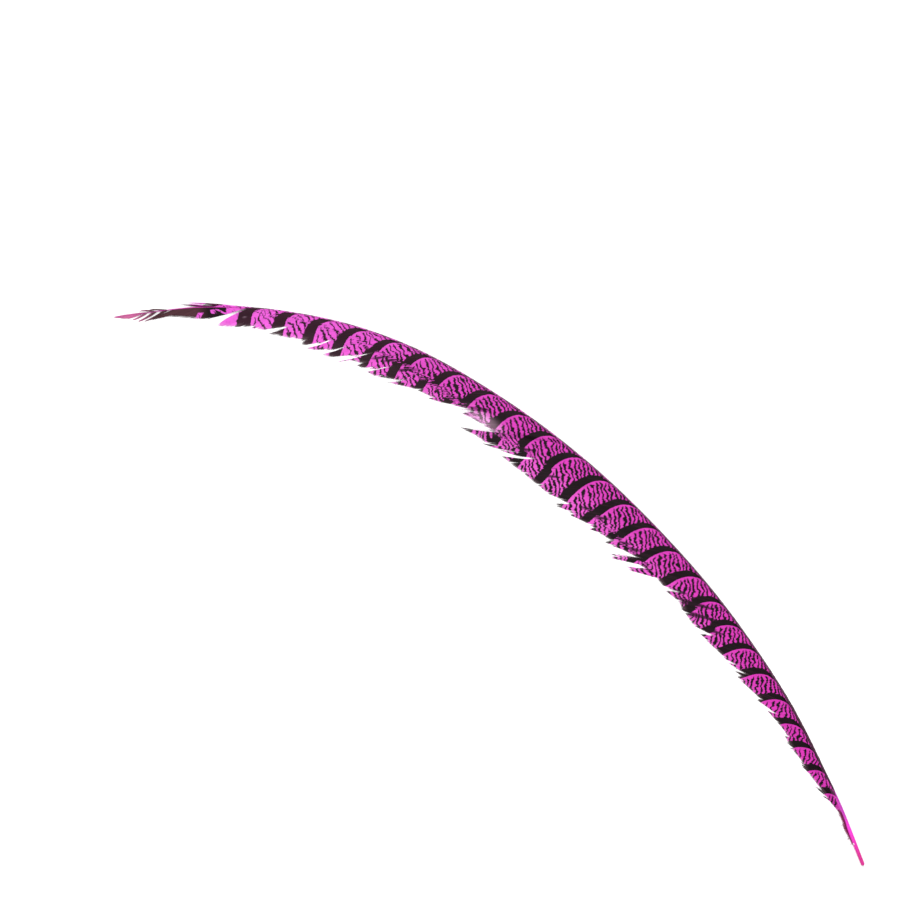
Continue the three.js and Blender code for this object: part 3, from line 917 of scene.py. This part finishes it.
def make_shaft(finish):
    """The quill and the rachis, which carries the web's markings on."""
    rings, s, turn, sideways = shaft_rings()
    shape = rings.shape[:3]
    station, round_it, out = (np.broadcast_to(v[None], shape) for v in (s, turn, sideways))
    bars = np.stack([bar_phase(station, out), bar_share(station, out), line_phase(station, out)], -1)
    spot = np.stack([station, round_it, out], -1)
    cover = smooth(out - along(COVERED, station), -0.2, 0.2)
    tubes = Tubes(rings, (station, round_it), 2 * np.pi, spot=spot, bars=bars, cover=cover)
    build("quill_and_rachis", tubes, finish, "shaft", True)


WIDE_PARTS = [("wide_vane_lower", WIDE_START, 209.5), ("wide_vane_middle", 209.5, 371.5),
              ("wide_vane_upper", 371.5, WIDE_END)]
BASE_TUFTS = [(41.2, 43, 60.4, 61, 9.2, 8.7, -0.4, 5, 0.14)]
GAP_TUFTS = [
    (345, 346.5, 398, 399.5, 30.2, 29.5, 0.3, 3, 0.12), (347, 348, 404, 405, 29.6, 29.3, 0.4, 2, 0.12),
]
SEAM_TUFTS = [(374.5, 375.5, 414, 415, 20.9, 20.6, 0, 2, 0.12)]
TIP_TUFTS = [  # three loose tufts and two above the shaft, then both sides of the lance-shaped point
    (624.2, 628, 640.2, 641.4, 5.6, 5.2, 0.5, 9, 0.14), (631.5, 635, 644.6, 645.6, 5.1, 4.7, 0.6, 8, 0.14),
    (637.8, 640.4, 648, 649.2, 3.6, 3.2, 0.4, 6, 0.13), (625, 627.5, 635.6, 637, -2.2, -1.7, 0.1, 6, 0.12),
    (632.5, 635.5, 642.4, 643.8, -2.1, -1.6, 0.5, 6, 0.12),
    (641.5, 647, 651, 655.5, 2.2, 1.5, 0.25, 14, 0.13), (646, 655, 655, 661, 1.5, 0.25, 0.2, 14, 0.12),
    (637, 646, 647, 654, -0.75, -0.8, 0.15, 12, 0.1), (646, 655, 654, 661, -0.8, -0.2, 0.1, 10, 0.1),
]
NARROW_TUFTS = [  # the narrow vane's two points
    (574, 590, 603, 612.5, -2.1, -3.4, 0.55, 40, 0.17), (586, 598, 606, 611, -0.7, -2.4, 0.2, 24, 0.17),
]
DARK_TUFTS = [(590, 601, 611, 616.6, -2.1, -2.9, -0.3, 12, 0.13)]  # and a dark strip below them


def make_wide_vane(finish):
    """The wide vane in three lengths, which meet at splits in the web. Two of them share the loose barbs
    where they meet."""
    loose = [BASE_TUFTS, GAP_TUFTS + SEAM_TUFTS, SEAM_TUFTS]
    for seed, (name, start, end) in enumerate(WIDE_PARTS):
        rng = np.random.default_rng(100 + seed)
        web = wide_barbs(rng, start, end, WIDE_REACH, SPLITS, barred_marks)
        tubes = joined([web, tuft_barbs(rng, loose[seed], barred_marks)])
        build(name, tubes, finish, "wide_vane")


def make_narrow_vane(finish):
    """The narrow vane, with its two points at the tip."""
    rng = np.random.default_rng(7)
    web = narrow_barbs(rng)
    points = [tuft_barbs(rng, NARROW_TUFTS, narrow_marks), tuft_barbs(rng, DARK_TUFTS, dark_marks)]
    build("narrow_vane_barbs", joined([web, *points]), finish, "narrow_vane")


def make_tip_vane(finish):
    """The dark web beyond the last split, with its loose tufts and lance-shaped point."""
    rng = np.random.default_rng(21)
    web = wide_barbs(rng, TIP_START, TIP_END, TIP_REACH, [], tip_marks, 0.1, 0.08)
    tubes = joined([web, tuft_barbs(rng, TIP_TUFTS, tip_marks)])
    build("tip_vane_barbs", tubes, finish, "tip_vane")


DOWN_COUNT = 520
DOWN_START, DOWN_END = 15, 38
LONG_STRAY = (30.5, 6.5)  # root and reach of the longest stray fibre
DOWN_ROOT = [(15, 0.97), (22.5, 0.88), (27, 0.75), (31, 0.45), (38, 0.3)]  # share of the quill's half width
DOWN_REACH = [(15, 1.6), (20, 2.5), (24, 3.1), (28, 2.6), (32, 2.1), (38, 1.9)]


def make_down(finish):
    """Fine fibres beside the quill: each leaves it at a small angle, follows its round side and wanders
    outwards in a slow wave. A few stray ones turn back towards the quill's end."""
    rng = np.random.default_rng(5)
    column = (DOWN_COUNT, 1)
    roots = np.sort(rng.uniform(DOWN_START, DOWN_END, column), axis=0)
    half_width = along(SHAFT_HALF_WIDTH, roots)
    inner = stepwise(DOWN_ROOT, roots) * half_width
    reach = stepwise(DOWN_REACH, roots) * rng.uniform(0.6, 1.05, column)
    stray = rng.random(column) < 0.06
    longest = np.argmin(np.abs(roots - LONG_STRAY[0]))
    stray[longest] = True
    reach = reach + stray * rng.uniform(0.4, 1.8, column)
    reach[longest] = LONG_STRAY[1]
    t = np.linspace(0, 1, 10)[None, :]
    out = inner + (reach - inner) * t
    wander = rng.normal(0, 0.4, column) * np.sin(t * 5 + rng.uniform(0, 6, column))
    place = roots + (out - inner) * np.where(stray, -0.45, 1.7) + wander * t
    x, y = on_plan(place, out)
    dome = np.sqrt(np.maximum(1 - (out / half_width) ** 2, 0))
    top = along(SHAFT_RISE, roots) + along(SHAFT_HALF_DEPTH, roots) * dome
    side = np.maximum(1.5 - 0.5 * (out - half_width), 0.25) + rng.uniform(-0.1, 0.4, column) * t
    z = np.where(out < half_width, top + 0.03, side)
    half = np.broadcast_to(0.075 * (1 - 0.6 * t), x.shape)
    rings = ribbon_rings(np.stack([x, y, z], -1), UPWARD, half, half, 0.0)
    shape = rings.shape[:3]
    tone = rng.uniform(-1, 1, column)
    share, tone, place, out = (np.broadcast_to(v[..., None], shape) for v in (t, tone, place, out))
    tubes = Tubes(rings, (place, out), spot=np.stack([share, tone, tone], -1))
    build("down_tuft", tubes, finish, "base_down")


# ---- Surface, lights and camera ----

VIEW_CENTRE = (-0.0755, 0.0054)  # metres, as are the other lengths but the lens's and the sensor's
VIEW_WIDTH = 0.5895
VIEW_TURN = math.radians(36.3)
LENS, SENSOR = 120.0, 36.0
FLOOR_HALF = 4.0
FLOOR_WHITE = (0.95, 0.95, 0.95, 1.0)
DAYLIGHT = 0.62  # strength of the white surroundings
LAMPS = [("key", (-1.1, 1.3, 2.2), 1.6, 60), ("fill", (1.4, -0.9, 2.4), 2, 34)]  # name, place, size, watts


def make_floor():
    """The pale surface that the feather lies on."""
    mesh = bpy.data.meshes.new("floor")
    corners = [(x * FLOOR_HALF, y * FLOOR_HALF, 0) for x, y in ((-1, -1), (1, -1), (1, 1), (-1, 1))]
    mesh.from_pydata(corners, [], [(0, 1, 2, 3)])
    mesh.materials.append(Finish("floor_white").end(FLOOR_WHITE, 0.9, None, Specular_IOR_Level=0.0))
    floor = added("floor", mesh)


def make_light(name, place, size, power):
    """A soft square lamp that looks at the feather's middle."""
    data = bpy.data.lights.new(name, "AREA")
    data.size = size
    data.energy = power
    lamp = added(name, data)
    lamp.location = place
    lamp.rotation_euler = (-Vector(place)).to_track_quat("-Z", "Y").to_euler()


def make_studio():
    """White surroundings, the lamps and a plain view of the colours."""
    world = bpy.data.worlds.new("studio")
    scene = bpy.context.scene
    scene.world = world
    world.use_nodes = True
    inputs = world.node_tree.nodes["Background"].inputs
    inputs["Color"].default_value = (1, 1, 1, 1)
    inputs["Strength"].default_value = DAYLIGHT
    for lamp in LAMPS:
        make_light(*lamp)
    scene.view_settings.view_transform = "Standard"
    scene.view_settings.look = "None"


def make_camera():
    """Looks straight down, turned so that the feather lies across the picture. Its height sets the view's
    width."""
    data = bpy.data.cameras.new("camera")
    data.lens = LENS
    data.sensor_width = SENSOR
    data.clip_end = 100
    camera = added("camera", data)
    height = VIEW_WIDTH * LENS / SENSOR
    camera.matrix_world = Matrix.Translation((*VIEW_CENTRE, height)) @ Matrix.Rotation(VIEW_TURN, 4, "Z")
    bpy.context.scene.camera = camera


make_camera()
make_floor()
make_studio()
web = barred_finish()
make_shaft(quill_finish())
make_wide_vane(web)
make_narrow_vane(web)
make_tip_vane(tip_finish())
make_down(down_finish())
